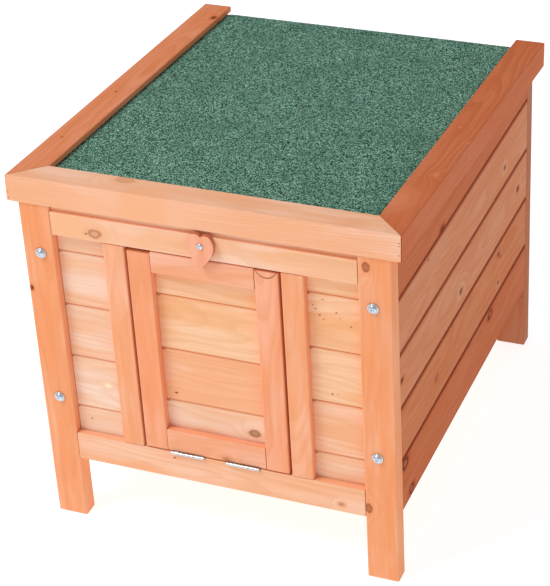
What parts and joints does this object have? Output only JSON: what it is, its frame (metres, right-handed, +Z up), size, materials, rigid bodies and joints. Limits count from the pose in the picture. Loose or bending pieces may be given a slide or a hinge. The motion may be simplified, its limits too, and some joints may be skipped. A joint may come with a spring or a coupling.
{
  "type": "rabbit hutch",
  "caption": "Small planked wooden rabbit hutch on corner posts, with a lifting felted pent roof, a drop-down ramp door and a heart-shaped turn-button.",
  "frame": {"origin": "on the floor under the middle of the whole hutch, at the height of the feet", "axes": "+Z up, -Y towards the door side, +Y towards the roof's hinges, +X to the right when facing the door from outside"},
  "size_m": [0.43, 0.5174, 0.4302],
  "materials": {
    "frame_timber": "planed pine with a warm orange glaze, satin to matte",
    "cladding": "planed pine boards, paler glaze, matte",
    "inner_timber": "unfinished sawn pine, matte",
    "felt": "green mineral-faced roofing felt, rough and matte",
    "zinc": "bright zinc plating with a bluish tint",
    "hinge_steel": "bright pressed steel"
  },
  "bodies": {
    "hutch": {"batten_back_left": "inner_timber", "batten_back_right": "inner_timber", "batten_front_left": "inner_timber", "batten_front_right": "inner_timber", "bolt_back_left_high": "zinc", "bolt_back_left_low": "zinc", "bolt_back_right_high": "zinc", "bolt_back_right_low": "zinc", "bolt_front_left_high": "zinc", "bolt_front_left_low": "zinc", "bolt_front_right_high": "zinc", "bolt_front_right_low": "zinc", "cladding_back": "cladding", "cladding_front_left": "cladding", "cladding_front_right": "cladding", "door_hinge_left_frame": "hinge_steel", "door_hinge_right_frame": "hinge_steel", "door_stop": "inner_timber", "floor_batten_left": "inner_timber", "floor_batten_right": "inner_timber", "floor_panel": "inner_timber", "latch_screw": "zinc", "post_back_left": "frame_timber", "post_back_right": "frame_timber", "post_front_left": "frame_timber", "post_front_right": "frame_timber", "rail_back_bottom": "frame_timber", "rail_back_top": "frame_timber", "rail_front_bottom": "frame_timber", "rail_front_top": "frame_timber", "roof_hinge_left_frame": "hinge_steel", "roof_hinge_right_frame": "hinge_steel", "side_plank_left_1": "frame_timber", "side_plank_left_2": "frame_timber", "side_plank_left_3": "frame_timber", "side_plank_left_4": "frame_timber", "side_plank_left_5": "frame_timber", "side_plank_right_1": "frame_timber", "side_plank_right_2": "frame_timber", "side_plank_right_3": "frame_timber", "side_plank_right_4": "frame_timber", "side_plank_right_5": "frame_timber", "stile_front_left": "frame_timber", "stile_front_right": "frame_timber"},
    "door": {"door_cladding": "cladding", "door_hinge_left_door": "hinge_steel", "door_hinge_right_door": "hinge_steel", "door_rail_bottom": "frame_timber", "door_rail_top": "frame_timber", "door_stile_left": "frame_timber", "door_stile_right": "frame_timber"},
    "heart_latch": {"latch_heart": "frame_timber"},
    "roof_lid": {"roof_batten_back": "inner_timber", "roof_deck": "inner_timber", "roof_felt": "felt", "roof_hinge_left_lid": "hinge_steel", "roof_hinge_right_lid": "hinge_steel", "roof_trim_front": "frame_timber", "roof_trim_left": "frame_timber", "roof_trim_right": "frame_timber"}
  },
  "joints": [
    {"name": "door_hinge", "type": "hinge", "parent": "hutch", "child": "door", "pos_m": [0, -0.25266, 0.11495], "axis": [1, 0, 0], "range_deg": [0, 117]},
    {"name": "lid_hinge", "type": "hinge", "parent": "hutch", "child": "roof_lid", "pos_m": [0, 0.25419, 0.36615], "axis": [-1, 0, 0], "range_deg": [0, 100]},
    {"name": "latch_turn", "type": "hinge", "parent": "hutch", "child": "heart_latch", "pos_m": [0.0035, -0.25371, 0.3848], "axis": [0, 1, 0], "range_deg": [-109, 100]}
  ]
}
